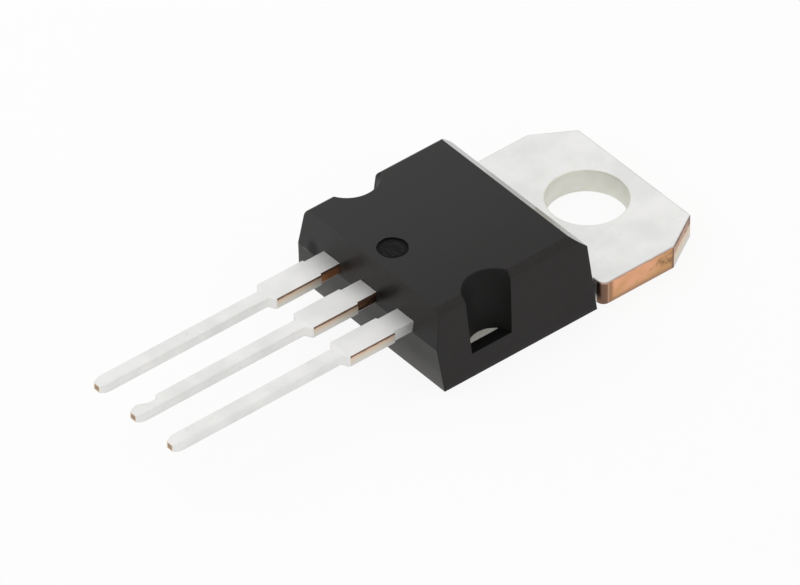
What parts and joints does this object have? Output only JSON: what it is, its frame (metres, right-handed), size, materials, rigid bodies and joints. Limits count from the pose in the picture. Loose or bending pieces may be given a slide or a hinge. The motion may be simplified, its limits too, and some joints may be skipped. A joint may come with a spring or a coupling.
{
  "type": "power transistor",
  "caption": "Through-hole power transistor with a moulded black body, a holed metal mounting tab and a row of straight leads, lying on its back.",
  "frame": {"origin": "centre of the mounting hole on the tab's back face", "axes": "+Z out of the back face towards the front of the moulded body, +Y along the package towards the tab's free end so that the leads point to -Y, +X across the package to the source lead's side"},
  "size_m": [0.0102, 0.0288, 0.0044],
  "materials": {
    "mould_compound": "fine matte moulding, near black",
    "tinned_copper": "matte tin plating over copper, bare copper on the sheared edges",
    "silicon": "sawn silicon chip",
    "solder": "soft solder, dull grey",
    "bond_wire": "drawn aluminium wire"
  },
  "bodies": {
    "root": {"moulded_body": "mould_compound", "heat_tab": "tinned_copper", "gate_lead": "tinned_copper", "source_lead": "tinned_copper", "silicon_die": "silicon", "die_solder": "solder", "source_wire_1": "bond_wire", "source_wire_2": "bond_wire", "gate_wire": "bond_wire"}
  },
  "joints": []
}
